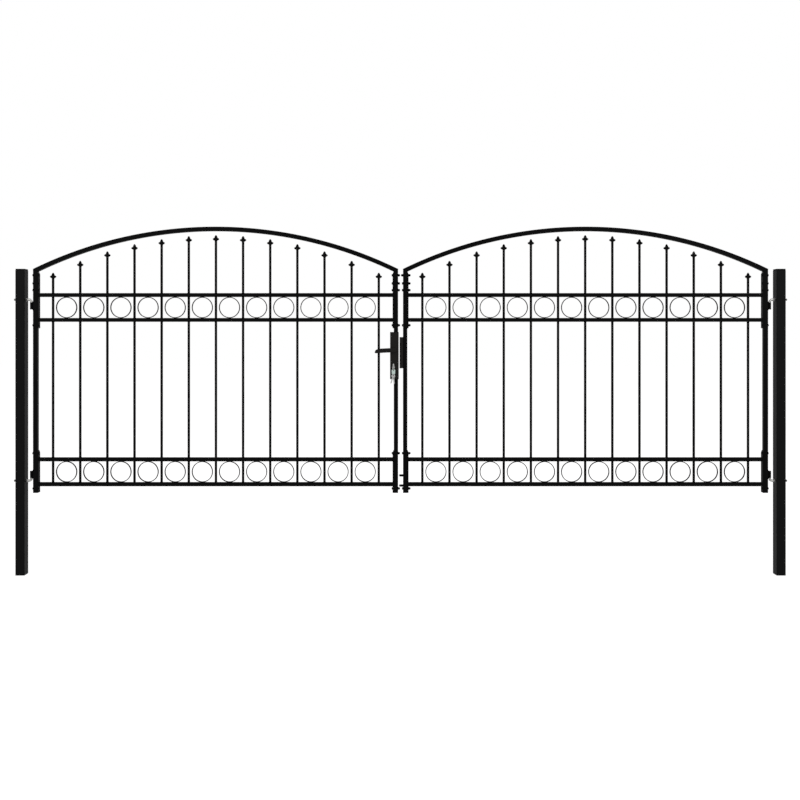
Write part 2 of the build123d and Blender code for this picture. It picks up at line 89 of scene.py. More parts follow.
bars_low, bars_high = corners("left_bars")
bar_radius = (bars_high[1] - bars_low[1]) / 2
bar_places = np.linspace(bars_low[0] + bar_radius, bars_high[0] - bar_radius, BAR_COUNT)
ring_places = (bar_places[1:] + bar_places[:-1]) / 2
finials_low, finials_high = corners("left_finials")
rail_names = ["top_rail", "second_rail", "third_rail", "bottom_rail"]
rail_boxes = {name: corners(f"left_{name}") for name in rail_names}
rail_middles = {name: (low[2] + high[2]) / 2 for name, (low, high) in rail_boxes.items()}
rail_half = (rail_boxes["top_rail"][1][2] - rail_boxes["top_rail"][0][2]) / 2


def arc_radius(reach, rise):
    """The radius of an arc: half its span squared plus its rise squared, over twice its rise."""
    return (reach ** 2 + rise ** 2) / (2 * rise)


def tip_heights(x):
    """Each spear's tip: the tip arc's centre height plus the root of radius less reach squared."""
    reach = bar_places[-1] - leaf_middle
    rise = finials_high[2] - finials_low[2] - FINIAL_HEIGHT
    radius = arc_radius(reach, rise)
    return finials_high[2] - radius + np.sqrt(radius ** 2 - (x - leaf_middle) ** 2)


print(BAR_COUNT, "bars a leaf, tips from", tip_heights(bar_places[:1]), "to", finials_high[2])

# %% [markdown]
# ## How a shape is made
# Nearly everything on a gate is a section drawn along a line: square tube, round bar, bent rod,
# weld bead. So a shape here is a grid of points, rows along the piece and columns round it, and
# the faces join neighbours. Whether they look outwards depends on which way the grid runs. The
# volume tells: it comes out negative for a shape that is inside out.

# %% Turn a grid of points into faces
def volume(points, quads):
    """Six times the volume: each face's two triangles against the middle point."""
    a, b, c, d = (points - points.mean(0))[quads].transpose(1, 0, 2)
    return (a * np.cross(b, c)).sum() + (a * np.cross(c, d)).sum()


def skin(rings, joined=False):
    """Faces between neighbours on the grid: flat ends, or the last row joined to the first."""
    rows, columns = rings.shape[:2]
    row_numbers = np.arange(rows if joined else rows - 1)
    row, column = np.meshgrid(row_numbers, np.arange(columns), indexing="ij")
    next_row = (row + 1) % rows * columns
    next_column = (column + 1) % columns
    row = row * columns
    loop = [row + column, row + next_column, next_row + next_column, next_row + column]
    points, faces = rings.reshape(-1, 3), [np.stack(loop, -1).reshape(-1, 4)]
    if not joined:
        ring = np.arange(columns)[None]
        faces += [ring[:, ::-1], (rows - 1) * columns + ring]
    if volume(points, faces[0]) < 0:
        faces = [block[:, ::-1] for block in faces]
    return points, faces


def grid(x, y, z, joined=False):
    """Faces over a grid of points, from its three coordinates stretched to one size."""
    return skin(np.stack(np.broadcast_arrays(x, y, z), -1), joined)


def together(*shapes):
    """Several shapes as one: their points one after the other and their faces numbered on."""
    starts = np.cumsum([0] + [len(points) for points, _ in shapes])
    faces = [block + start for (_, blocks), start in zip(shapes, starts) for block in blocks]
    return np.concatenate([points for points, _ in shapes]), faces


def repeated(shape, shifts):
    """The shape once at each shift: its points plus the shift, its faces numbered on."""
    points, faces = shape
    shifts = np.asarray(shifts, float)
    everywhere = (points[None] + shifts[:, None]).reshape(-1, 3)
    starts = np.arange(len(shifts))[:, None, None] * len(points)
    return everywhere, [(block[None] + starts).reshape(-1, block.shape[1]) for block in faces]


def flipped(shape, axis, about=0.0):
    """The mirror image: twice the mirror's place less the coordinate, each face turned round."""
    points, faces = shape
    image = points.copy()
    image[:, axis] = 2 * about - image[:, axis]
    return image, [block[:, ::-1] for block in faces]


def across(shape):
    """The same shape on the right leaf, mirrored about the middle of the gate."""
    return flipped(shape, 0, gate_middle)


def both_ends(shape):
    """The shape at the leaf's hinge end, and its mirror image at the meeting end."""
    return together(shape, flipped(shape, 0, leaf_middle))


def both_faces(shape):
    """The shape on the street side, and its mirror image on the other side."""
    return together(shape, flipped(shape, 1))


print("a grid of 3 by 8 points makes", len(skin(np.zeros((3, 8, 3)))[1][0]), "faces and two ends")

# %% [markdown]
# ## Sections and lines
# A tube's corner is a quarter circle, so the section is four quarter circles with straight runs
# between them. The section is then carried along a line. At each point of the line stand two
# axes: a fixed second axis, and a first axis at right angles to it and to the line.

# %% Draw sections and carry them along lines
X = np.array([1.0, 0.0, 0.0])
Y = np.array([0.0, 1.0, 0.0])
Z = np.array([0.0, 0.0, 1.0])
ARC_POINTS = 4


def turns(count):
    """Even turns round a full circle, the first at nought."""
    return np.arange(count) * 2 * np.pi / count


def rounded(width, height, radius, arc_points=ARC_POINTS):
    """A rectangle with round corners: corner centre plus radius times cosine and sine."""
    turn = np.linspace(0, np.pi / 2, arc_points) + np.arange(4)[:, None] * np.pi / 2
    side = (width / 2 - radius) * np.array([1, -1, -1, 1])[:, None]
    rise = (height / 2 - radius) * np.array([1, 1, -1, -1])[:, None]
    section = np.stack([side + radius * np.cos(turn), rise + radius * np.sin(turn)], -1)
    return section.reshape(-1, 2)


def arc(radius, turn):
    """Points on an arc: radius times the cosine and sine of each turn."""
    return radius * np.stack([np.cos(turn), np.sin(turn)], -1)


def circle(radius, count):
    """Points at even turns round a whole circle."""
    return arc(radius, turns(count))


def level_circle(radius, count):
    """The same circle lying level about Z."""
    return np.insert(circle(radius, count), 2, 0, axis=1)


def carried(section, line, second, joined=False, swell=1.0):
    """The section at every point of a line: its x along the first axis, its y along the second.

    The swell scales the section: one number, or one for each row, or one for each row and column.
    """
    line = np.asarray(line, float)
    if joined:
        along = np.roll(line, -1, 0) - np.roll(line, 1, 0)
    else:
        along = np.gradient(line, axis=0)
    along /= np.linalg.norm(along, axis=1, keepdims=True)
    first = np.cross(second, along)
    upright = np.cross(along, first)
    spread = section[:, :1] * first[:, None] + section[:, 1:] * upright[:, None]
    swell = np.broadcast_to(swell, (len(line), len(section)))
    return skin(line[:, None] + swell[..., None] * spread, joined)


def turned(profile, count=32):
    """A lathe shape about Z, from pairs of a radius and a height."""
    radius, height = np.asarray(profile).T[:, :, None]
    x, y = circle(1.0, count).T
    return grid(radius * x, radius * y, height)


def laid(shape, along, second, place):
    """A shape made about Z, turned so that its Z and Y lie along two directions, then moved."""
    points, faces = shape
    along, second = np.asarray(along, float), np.asarray(second, float)
    axes = np.stack([np.cross(second, along), second, along])
    return points @ axes + np.asarray(place), faces


print("a 25 mm tube's section has", len(rounded(25 * MM, 25 * MM, 1.5 * MM)), "points")

# %% [markdown]
# ## Soft edges for boxes and plates
# No sheet or cast part has a knife edge. A box is made as stacked sections, and the first and
# last few are drawn in along a quarter circle, which rounds its rims.

# %% Boxes and plates with round rims
STRAIGHT = 1e-6


def eased(length, rim, steps=4):
    """Stations along a length and how far each is drawn in: a quarter circle at both ends."""
    turn = np.linspace(0, np.pi / 2, steps)
    start = rim * (1 - np.sin(turn))
    inset = rim * (1 - np.cos(np.pi / 2 - turn))
    stations = np.concatenate([start[::-1], length - start])
    return stations, np.concatenate([inset[::-1], inset])


def soft_box(low, high, corner, rim):
    """A box whose upright edges have one radius and whose rims have another.

    The edges' radius shrinks where the rims are drawn in, but to no less than a third.
    """
    low, high = np.asarray(low, float), np.asarray(high, float)
    width, depth, height = high - low
    stations, insets = eased(height, rim)
    sections = np.stack([
        rounded(width - 2 * inset, depth - 2 * inset, max(corner - inset, corner / 3))
        for inset in insets
    ]) + (low[:2] + high[:2]) / 2
    return grid(sections[..., 0], sections[..., 1], low[2] + stations[:, None])


def drawn_in(outline):
    """For each corner of an outline, the step that moves both its edges inwards by one."""
    edge_out = np.roll(outline, -1, 0) - outline
    edge_out /= np.linalg.norm(edge_out, axis=1, keepdims=True)
    edge_in = np.roll(edge_out, 1, 0)
    square_to_edge = np.stack([-edge_in[:, 1], edge_in[:, 0]], -1)
    cross = (edge_in[:, 0] * edge_out[:, 1] - edge_in[:, 1] * edge_out[:, 0])[:, None]
    straight_on = np.abs(cross) < STRAIGHT
    mitred = (edge_out - edge_in) / np.where(straight_on, 1.0, cross)
    return np.where(straight_on, square_to_edge, mitred)


def plate(outline, low, high, rim=0.4 * MM, steps=3):
    """A flat plate between two depths, from an outline in the gate's plane, with round rims."""
    outline = np.asarray(outline, float)
    stations, insets = eased(high - low, rim, steps)
    drawn = outline + insets[:, None, None] * drawn_in(outline)
    return grid(drawn[..., 0], high - stations[:, None], drawn[..., 1])


def softened(outline, rounds=2):
    """An outline with its corners cut off again and again: each edge keeps its middle half."""
    outline = np.asarray(outline, float)
    for _ in range(rounds):
        after = np.roll(outline, -1, 0)
        outline = np.stack([0.75 * outline + 0.25 * after, 0.25 * outline + 0.75 * after], 1)
        outline = outline.reshape(-1, 2)
    return outline


def holed_plate(outline, centre, radius, low, high, rim=0.3 * MM):
    """A flat plate with a round hole: each row goes from the hole to the rim and back."""
    outline = np.asarray(outline, float)
    away = outline - centre
    inside = centre + radius * away / np.linalg.norm(away, axis=1, keepdims=True)
    inward = drawn_in(outline)
    hole_in = (inside - centre) / radius
    near, far = low + rim, high - rim
    columns = [
        (inside, near), (inside + rim * hole_in, low),
        (outline + rim * inward, low), (outline, near), (outline, far),
        (outline + rim * inward, high), (inside + rim * hole_in, high), (inside, far),
    ]
    points = np.stack([point for point, _ in columns], 1)
    return grid(points[..., 0], [depth for _, depth in columns], points[..., 1], joined=True)


print("a box with round rims has", len(soft_box([0] * 3, [1] * 3, 0.1, 0.1)[1][0]), "side faces")

# %% [markdown]
# ## From shape to piece
# The points and faces go into a mesh, the mesh into an object, and the object rides on a body of
# the gate. Faces are shaded smooth, and an edge sharper than 35 degrees stays crisp. The
# modifier weighs each corner's normal by the size of its faces, so that broad flats look flat
# and only the round edges catch the light.

# %% Put a shape into the scene
FINISHES = {}
CRISP_ANGLE = np.radians(35)


def stand(name, data, place=(0, 0, 0), turn=(0, 0, 0)):
    """A new object in the scene, at a place and turned by three angles."""
    thing = bpy.data.objects.new(name, data)
    thing.location, thing.rotation_euler = place, turn
    bpy.context.scene.collection.objects.link(thing)
    return thing


def add(name, shape, body, finish, nodes=()):
    """One piece: its shape and finish, the body it rides on and the nodes that it stands for."""
    points, faces = shape
    mesh = bpy.data.meshes.new(name)
    mesh.from_pydata(points.tolist(), [], [face for block in faces for face in block.tolist()])
    mesh.polygons.foreach_set("use_smooth", np.ones(len(mesh.polygons), bool))
    mesh.set_sharp_from_angle(angle=CRISP_ANGLE)
    mesh.materials.append(FINISHES[finish])
    piece = stand(name, mesh)
    even = piece.modifiers.new("even normals", "WEIGHTED_NORMAL")
    even.keep_sharp = True
    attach(piece, body)
    if nodes:
        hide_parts(*nodes)
    print(name, "has", len(mesh.polygons), "faces")
    return piece


def add_pair(name, shape, nodes=(), finish="black_powder_coat", body="{side}_leaf"):
    """The piece on the left side of the gate and its mirror image on the right."""
    for side, part in (("left", shape), ("right", across(shape))):
        side_nodes = [f"{side}_{node}" for node in nodes]
        add(f"{side}_{name}", part, body.format(side=side), finish, side_nodes)


# %% [markdown]
# ## Finishes
# Every finish is worked out from the place on the piece, so it needs no picture. The black
# coating on steel tube is a baked powder: deep black, satin, with a faint ripple like orange
# peel a few millimetres across and a finer grain on top. Its gloss drifts a little from place to
# place, because the powder never lies quite evenly.

# %% Helpers for a finish
def give(tree, node, inputs):
    """Give a node its inputs by name: each a plain value, or a link from another node's output."""
    for name, given in inputs.items():
        if isinstance(given, bpy.types.NodeSocket):
            tree.links.new(given, node.inputs[name])
        else:
            node.inputs[name].default_value = given


def made(tree, kind, output, inputs, **settings):
    """A new node with its settings and inputs given, as the output that is wanted of it."""
    node = tree.nodes.new("ShaderNode" + kind)
    for name, value in settings.items():
        setattr(node, name, value)
    give(tree, node, inputs)
    return node.outputs[output]


def start_finish(name):
    """A new material: its node tree, its shader and the place on the piece in metres."""
    FINISHES[name] = bpy.data.materials.new(name)
    FINISHES[name].use_nodes = True
    tree = FINISHES[name].node_tree
    return tree, tree.nodes["Principled BSDF"], made(tree, "TexCoord", "Object", {})


def cloud(tree, place, size, detail, stretch=(1, 1, 1)):
    """Noise with lumps of about this size, drawn out along an axis where stretch is under 1."""
    drawn = made(tree, "Mapping", "Vector", {"Vector": place, "Scale": stretch})
    return made(tree, "TexNoise", "Fac", {"Vector": drawn, "Scale": 1 / size, "Detail": detail})


def ramp(tree, value, low, high):
    """The middle of a noise, from 0.3 to 0.7, spread between two values."""
    ends = {"From Min": 0.3, "From Max": 0.7, "To Min": low, "To Max": high}
    return made(tree, "MapRange", "Result", {"Value": value, **ends})


def tint(tree, value, dark, light):
    """A colour between two, mixed by a value. Each is three numbers or another node's output."""
    dark, light = [(*shade, 1) if isinstance(shade, tuple) else shade for shade in (dark, light)]
    return made(tree, "Mix", "Result", {"Factor": value, "A": dark, "B": light}, data_type="RGBA")


def relief(tree, *layers):
    """Bump from several heights, each with its own depth in metres, one on top of the other."""
    under = {}
    for height, depth in layers:
        inputs = {"Strength": 1.0, "Distance": depth, "Height": height, **under}
        under = {"Normal": made(tree, "Bump", "Normal", inputs)}
    return under["Normal"]


# %% Black powder coat of the leaves and of the posts
SPECK_LIGHT = 2.0


def powder_coat(name, dark, light, shine):
    """Baked powder: a drifting black with fine pale specks, wide ripples and a grain on them."""
    tree, shader, place = start_finish(name)
    drift = cloud(tree, place, 90 * MM, 4)
    grain = cloud(tree, place, 0.7 * MM, 2)
    peel = cloud(tree, place, 3.5 * MM, 2)
    speck_light = tuple(SPECK_LIGHT * value for value in light)
    specks = tint(tree, ramp(tree, grain, 0, 1), dark, speck_light)
    give(tree, shader, {
        "Base Color": tint(tree, 0.5, tint(tree, drift, dark, light), specks),
        "Roughness": ramp(tree, peel, 0.42, 0.58),
        "Specular IOR Level": shine,
        "Normal": relief(tree, (peel, 0.10 * MM), (grain, 0.03 * MM)),
    })
    print(name, "is ready")


powder_coat("black_powder_coat", (0.0003, 0.0003, 0.0004), (0.0015, 0.0015, 0.0015), 0.036)
powder_coat("post_powder_coat", (0.0004, 0.0004, 0.0006), (0.0017, 0.0017, 0.0017), 0.062)

# %% [markdown]
# The other finishes are alike in build: broad lumps of noise carry the colour from a dark to a
# light shade, and a fine grain makes the relief. The gloss follows the grain, as on metal and
# paint, or the lumps, as on plastic, which turns matt in patches.


# %% A finish from two noises
def two_noise_finish(name, lumps, grain, shades, gloss, depth, metal=0, shine=0.5, plastic=False):
    """A finish from lumps and grain, each a size and a detail, and the shader's other inputs."""
    tree, shader, place = start_finish(name)
    broad, fine = cloud(tree, place, *lumps), cloud(tree, place, *grain)
    give(tree, shader, {
        "Base Color": tint(tree, broad, *shades),
        "Roughness": ramp(tree, broad if plastic else fine, *gloss),
        "Normal": relief(tree, (fine, depth)),
        "Metallic": metal, "Specular IOR Level": shine,
    })
    print(name, "is ready")


# %% Black plastic of the caps and bolt covers
dark, light = (0.0004, 0.0004, 0.0005), (0.0012, 0.0012, 0.0012)
lumps, grain = (15 * MM, 3), (0.5 * MM, 2)
two_noise_finish(
    "black_plastic", lumps, grain, (dark, light), (0.55, 0.68), 0.03 * MM, shine=0.015, plastic=True
)

# %% Satin black of the lever and lock case
dark, light = (0.0034, 0.0029, 0.0025), (0.0070, 0.0060, 0.0052)
lumps, grain = (40 * MM, 4), (1.8 * MM, 2)
two_noise_finish(
    "black_lever", lumps, grain, (dark, light), (0.32, 0.46), 0.05 * MM, shine=0.11
)

# %% [markdown]
# Zinc plating is a thin bright metal with a dull bloom: the colour drifts between blue-grey and
# straw as the passivation film thickens, and a finer frost turns it matt in spots. The nickel
# on the lock cylinder and keys is smoother and plainer, with fine lines left by polishing.

# %% Zinc plate of the hinge rods and nuts
dark, light = (0.27, 0.275, 0.28), (0.50, 0.49, 0.46)
lumps, grain = (6 * MM, 4), (0.8 * MM, 3)
two_noise_finish("zinc_plate", lumps, grain, (dark, light), (0.28, 0.46), 0.02 * MM, metal=1)

# %% Nickel of the lock cylinder and the keys
dark, light = (0.27, 0.27, 0.27), (0.44, 0.44, 0.43)
lumps, grain = (4 * MM, 3), (0.25 * MM, 2, (1, 1, 0.06))
two_noise_finish("nickel", lumps, grain, (dark, light), (0.2, 0.38), 0.008 * MM, metal=1)

# %% Pale green plastic of the key tag
dark, light = (0.36, 0.46, 0.42), (0.55, 0.64, 0.60)
lumps, grain = (8 * MM, 3), (0.9 * MM, 2)
two_noise_finish("key_plastic", lumps, grain, (dark, light), (0.3, 0.42), 0.02 * MM, plastic=True)

# %% [markdown]
# ## Posts and their caps
# The posts are square tube with corners rolled to about 4 mm. A plain box would show hard
# lines, and a bevel on a box is one way to round it, but the section drawn with true quarter
# circles gives even strips of light down all four corners. The lids are matt plastic, with a
# short skirt that comes down flush with the tube and shows as a darker band.

# %% Posts
POST_CORNER = 4 * MM
CAP_RIM = 1.4 * MM
CAP_SKIRT = 9 * MM
post_side = post_high[0] - post_low[0]
tube_top = corners("post_caps")[1][2] - CAP_SKIRT
post_line = np.array([[0, 0, post_low[2]], [0, 0, tube_top]])
post_section = rounded(post_side, post_side, POST_CORNER, arc_points=6)
post_tube = carried(post_section, post_line, Y)
add_pair("post_tube", post_tube, ["post"], "post_powder_coat", "posts")

# %% Post caps
FOOT_RIM = 1 * MM
half_side = post_side / 2
foot_thickness = corners("foot_caps")[1][2]


def lids(bottom, top, rim):
    """A lid as wide as the post, and the same one on the other post."""
    lid = soft_box([-half_side, -half_side, bottom], [half_side, half_side, top], POST_CORNER, rim)
    return together(lid, across(lid))


top_lids = lids(tube_top, tube_top + CAP_SKIRT, CAP_RIM)
add("post_top_lids", top_lids, "posts", "black_plastic", ["post_caps"])
add("post_foot_lids", lids(0, foot_thickness, FOOT_RIM), "posts", "black_plastic", ["foot_caps"])

# %% [markdown]
# ## The leaf's frame
# One square tube is bent to an arc and mitred onto two upright stiles. Every line along the arch
# is an arc of its own radius about one centre. It ends where it meets the mitre's plane, which
# runs from the outer corner to the inner corner of the joint. Working that out line by line
# gives a joint with no gap and no overlap.

# %% Arch and stiles
TUBE_CORNER = 2.2 * MM
ARCH_STEPS = 72

arch_radius = arc_radius(leaf_half, arch_crown - arch_spring)
arch_centre = arch_crown - arch_radius
inner_reach = leaf_half - tube
inner_corner = arch_centre + np.sqrt((arch_radius - tube) ** 2 - inner_reach ** 2)
mitre_slope = (inner_corner - arch_spring) / tube
tube_section = rounded(tube, tube, TUBE_CORNER)


def mitre_angle(radius):
    """Where an arc meets the mitre: its lean plus the arc cosine of its distance over radius."""
    distance = arch_spring - arch_centre + mitre_slope * leaf_half
    steepness = np.sqrt(1 + mitre_slope ** 2)
    return np.arctan(mitre_slope) + np.arccos(distance / (radius * steepness))


def arch_surface():
    """Rows of the tube's section: each line is an arc of its own radius that ends at the mitre."""
    radius = arch_radius - tube / 2 + tube_section[:, 1]
    turn = np.linspace(-1, 1, ARCH_STEPS + 1)[:, None] * mitre_angle(radius)
    along, height = leaf_middle + radius * np.sin(turn), arch_centre + radius * np.cos(turn)
    return grid(along, -tube_section[:, 0], height)


def stile_surface():
    """The hinge stile: level at the foot, and cut along the mitre's slope at the top."""
    along = leaf_start + tube / 2 + tube_section[:, 0]
    cut = arch_spring + mitre_slope * (along - leaf_start)
    return grid(along, tube_section[:, 1], [0 * cut + hinge_stile_low[2], cut])


hinge_stile = stile_surface()
meeting_stile = flipped(hinge_stile, 0, leaf_middle)
add_pair("arch_tube", arch_surface(), ["arch"])
add_pair("hinge_stile_tube", hinge_stile, ["hinge_stile"])
add_pair("meeting_stile_tube", meeting_stile, ["meeting_stile"])

# %% [markdown]
# Weld metal at the mitre stands a little proud and shows the overlapping pools of each pass. A
# round bead whose radius swells and shrinks along its way gives that look.

# %% Weld beads at the mitres
BEAD_RADIUS = 1.1 * MM
BEAD_SWELL = 0.18
BEAD_POOLS = 2.4 * MM
BEAD_STEP = 0.8 * MM
BEAD_POINTS = 8


def distance_run(line):
    """How far along a line each of its points is: the running sum of its steps."""
    return np.concatenate([[0], np.cumsum(np.linalg.norm(np.diff(line, axis=0), axis=1))])


def bead(line, second, radius=BEAD_RADIUS, joined=False):
    """A weld bead along a line: a circle whose radius swells with the sine of the distance run."""
    line = np.asarray(line, float)
    swell = 1 + BEAD_SWELL * np.sin(2 * np.pi * distance_run(line) / BEAD_POOLS)
    return carried(circle(radius, BEAD_POINTS), line, second, joined, swell[:, None])


def along_outline(outline, spacing):
    """Even points round a closed outline: each coordinate is interpolated on the distance run."""
    closed = np.concatenate([outline, outline[:1]])
    run = distance_run(closed)
    even = np.linspace(0, run[-1], int(run[-1] / spacing) + 1)[:-1]
    return np.stack([np.interp(even, run, closed[:, i]) for i in range(3)], -1)


mitre_outline = hinge_stile[0].reshape(2, -1, 3)[1]
mitre_normal = np.array([-mitre_slope, 0, 1]) / np.sqrt(1 + mitre_slope ** 2)
mitre_bead = bead(along_outline(mitre_outline, BEAD_STEP), mitre_normal, joined=True)
add_pair("mitre_welds", both_ends(mitre_bead))

# %% [markdown]
# ## Rails, bars and rings
# Four square rails carry the infill. The bars pass through three of them, and a small bead holds
# each bar above and below a rail. The rings are flat bar rolled to a circle and tacked to the
# rails at the top and the bottom. Thousands of faces go into them, so each is a plain section
# carried round, repeated with one array sum.

# %% Rails
RAIL_CORNER = 1.8 * MM
for name, (low, high) in rail_boxes.items():
    section = rounded(high[1] - low[1], high[2] - low[2], RAIL_CORNER)
    line = [[low[0], 0, rail_middles[name]], [high[0], 0, rail_middles[name]]]
    add_pair(f"{name}_tube", carried(section, line, Z), [name])

# %% Bars
BAR_POINTS = 24
ROUND_BAR = 8 * MM
bar_foot = bars_low[2]


def bar_surfaces():
    """All bars of a leaf, each with a circle at its foot and one in the spear's socket."""
    section = circle(ROUND_BAR, BAR_POINTS)
    ends = zip(bar_places, tip_heights(bar_places) - FINIAL_HEIGHT)
    return together(*[carried(section, [[x, 0, bar_foot], [x, 0, top]], Y) for x, top in ends])


add_pair("round_bars", bar_surfaces(), ["bars"])

# %% Beads that hold the bars in the rails
COLLAR_POINTS = 16
COLLAR_BEAD = 1.3 * MM
COLLAR_BEAD_POINTS = 6

collar_line = level_circle(ROUND_BAR, COLLAR_POINTS)
collar = carried(circle(COLLAR_BEAD, COLLAR_BEAD_POINTS), collar_line, Z, joined=True)
collar_heights = [
    rail_middles[name] + side * rail_half for name in rail_names[:3] for side in (-1, 1)
]
collar_heights.append(bar_foot)
collar_places = [[x, 0, z] for x in bar_places for z in collar_heights]
add_pair("bar_welds", repeated(collar, collar_places))

# %% Rings
RING_BAR = 5 * MM
RING_EDGE = 0.8 * MM
RING_POINTS = 72
rings_low, rings_high = corners("left_upper_rings")
ring_radius = (rings_high[2] - rings_low[2]) / 2
ring_section = rounded(RING_BAR, rings_high[1] - rings_low[1], RING_EDGE, arc_points=3)


def ring_surface():
    """A flat bar's section carried round a circle that faces the street."""
    upright = circle(ring_radius - RING_BAR / 2, RING_POINTS)[:, ::-1]
    return carried(ring_section, np.insert(upright, 1, 0, axis=1), Y, joined=True)


for row, upper, lower in RING_ROWS:
    height = (rail_middles[upper] + rail_middles[lower]) / 2
    ring_row = repeated(ring_surface(), [[x, 0, height] for x in ring_places])
    add_pair(f"{row}_round_rings", ring_row, [f"{row}_rings"])

# %% Tack welds of the rings
TACK = np.array([4.5, 3.2, 1.3]) * MM
TACK_POLE = 0.12


def tack():
    """A flat lump of weld: a lathe half circle, stretched to three different half sizes."""
    turn = np.linspace(TACK_POLE, np.pi - TACK_POLE, 7)
    points, faces = turned(np.stack([np.sin(turn), -np.cos(turn)], -1), 12)
    return points * TACK, faces


tack_places = []
for _, upper, lower in RING_ROWS:
    for x in ring_places:
        tack_places.append([x, 0, rail_middles[upper] - rail_half])
        tack_places.append([x, 0, rail_middles[lower] + rail_half])
add_pair("ring_tacks", repeated(tack(), tack_places))

# %% [markdown]
# ## Spears
# Each bar ends in a cast spear: a socket over the bar, two blunt arms, and a leaf-shaped blade.
# It could be modelled by hand from a cube, but its form is simple to say in numbers: at each
# height it has a half width and a half depth, and its section changes from a circle at the
# socket to a pinched diamond at the arms and blade. The width is the body's own plus a short
# swell for the arms.

# %% Spears
FINIAL_POINTS = 32
FINIAL_ROWS = 57
ARM_DROP = 27 * MM
ARM_RISE = 8.6 * MM
ARM_HALF = (finials_high[0] - finials_low[0] - (bar_places[-1] - bar_places[0])) / 2
ARM_FULLNESS = 0.65
ARM_PINCH = 0.5

# At each drop below the tip: the half width and half depth, and the power that pinches the
# section from a circle to a diamond.
SPEAR = np.array([
    [0, 0.8, 0.6, 1.3], [1, 3.0, 1.6, 1.3], [4, 5.8, 2.8, 1.3], [12, 9.4, 4.4, 1.3],
    [20, 11.4, 6.0, 1.3], [24, 11.2, 7.0, 1.3], [27, 10.8, 8.0, 1.2], [31, 9.8, 8.3, 1.1],
    [35, 9.0, 8.3, 1.0], [38, 8.6, 8.3, 1.0], [41, 8.2, 8.2, 1.0],
]) * [MM, MM, MM, 1]


def finial_surface():
    """Height by height: half width = body + arm swell, round a circle raised to a power."""
    drop = np.linspace(FINIAL_HEIGHT, 0, FINIAL_ROWS)
    width, depth, power = [np.interp(drop, SPEAR[:, 0], column) for column in SPEAR[:, 1:].T]
    swell = np.clip(1 - ((drop - ARM_DROP) / ARM_RISE) ** 2, 0, 1) ** ARM_FULLNESS
    width += (ARM_HALF - np.interp(ARM_DROP, SPEAR[:, 0], SPEAR[:, 1])) * swell
    power += ARM_PINCH * swell
    unit = circle(1.0, FINIAL_POINTS)
    side, front = (np.sign(unit) * np.abs(unit) ** power[:, None, None]).transpose(2, 0, 1)
    return grid(side * width[:, None], front * depth[:, None], -drop[:, None])


finial_places = np.stack([bar_places, 0 * bar_places, tip_heights(bar_places)], -1)
add_pair("cast_spears", repeated(finial_surface(), finial_places), ["finials"])

# %% [markdown]
# ## Brackets and bolts
# The infill panel is bolted into the frame: flat brackets at its corners, and bolts through the
# stiles under domed plastic covers. Their rims catch a thin line of light, so the plates are
# drawn in at both faces.

# %% Panel brackets
BRACKET_CUT = 5 * MM
BRACKET_TOE = 3 * MM
BRACKET_RIM = 0.5 * MM
UPPER_BRACKET_FOOT = 1604 * MM
LOWER_BRACKET_HEAD = 808 * MM

brackets_low, brackets_high = corners("left_panel_brackets")
hinge_inner = rail_boxes["top_rail"][0][0]
meeting_inner = rail_boxes["top_rail"][1][0]


def bracket(low, high):
    """A flat bar beside the stile: a long slope cut off its head, a short one off its foot."""
    face = leaf_start + tube
    outline = [
        [face, low], [hinge_inner - BRACKET_TOE, low], [hinge_inner, low + BRACKET_TOE],
        [hinge_inner, high - 3 * BRACKET_CUT], [hinge_inner - BRACKET_CUT, high], [face, high],
    ]
    return plate(outline, -tube / 2, tube / 2, BRACKET_RIM)


upper_bracket = bracket(UPPER_BRACKET_FOOT, brackets_high[2])
lower_bracket = bracket(brackets_low[2], LOWER_BRACKET_HEAD)
brackets = both_ends(together(upper_bracket, lower_bracket))
add_pair("bolted_brackets", brackets, ["panel_brackets"])

# %% Bolt covers
BOLT_HEIGHTS = np.array([1950, 1897, 1853, 1624, 790, 560]) * MM
COVER_RADIUS = 8 * MM
COVER_POINTS = 20
DOME_POLE = 0.06
DOME_POWER = 0.7
BRIM_RADII = [1.06, 1.1, 1.06, 1.0]
BRIM_HEIGHTS = [0, 0.1, 0.2, 0.28]

# The faces with bolts: where each is, which way its covers point, and the heights of its bolts.
# Below them, how far the covers of each face stand out.
BOLTED_FACES = [
    (leaf_start, -1, BOLT_HEIGHTS), (hinge_inner, 1, BOLT_HEIGHTS),
    (meeting_inner, -1, BOLT_HEIGHTS), (leaf_end, 1, BOLT_HEIGHTS[:1]),
    (leaf_end, 1, BOLT_HEIGHTS[1:]),
]
LEFT_STANDS = np.array([8, 2.2, 6.5, 12.5, 12.5]) * MM
RIGHT_STANDS = np.array([8, 2.2, 13.5, 13, 7.5]) * MM


def cover(height):
    """A domed cover: a straight collar with a brim, then a half ellipse up to its pole."""
    turn = np.linspace(0, np.pi / 2 - DOME_POLE, 9)
    radii = np.concatenate([BRIM_RADII, np.cos(turn) ** DOME_POWER])
    heights = np.concatenate([BRIM_HEIGHTS, 0.5 + 0.5 * np.sin(turn)])
    return turned(np.stack([COVER_RADIUS * radii, height * heights], -1), COVER_POINTS)


def covers(stands):
    """A leaf's covers: one at each bolt of each face, pointing along the gate."""
    parts = []
    for (face, direction, levels), stand in zip(BOLTED_FACES, stands):
        first = laid(cover(stand), direction * X, Y, [face, 0, 0])
        parts.append(repeated(first, [[0, 0, z] for z in levels]))
    return together(*parts)


add("left_bolt_covers", covers(LEFT_STANDS), "left_leaf", "black_plastic")
add("right_bolt_covers", across(covers(RIGHT_STANDS)), "right_leaf", "black_plastic")

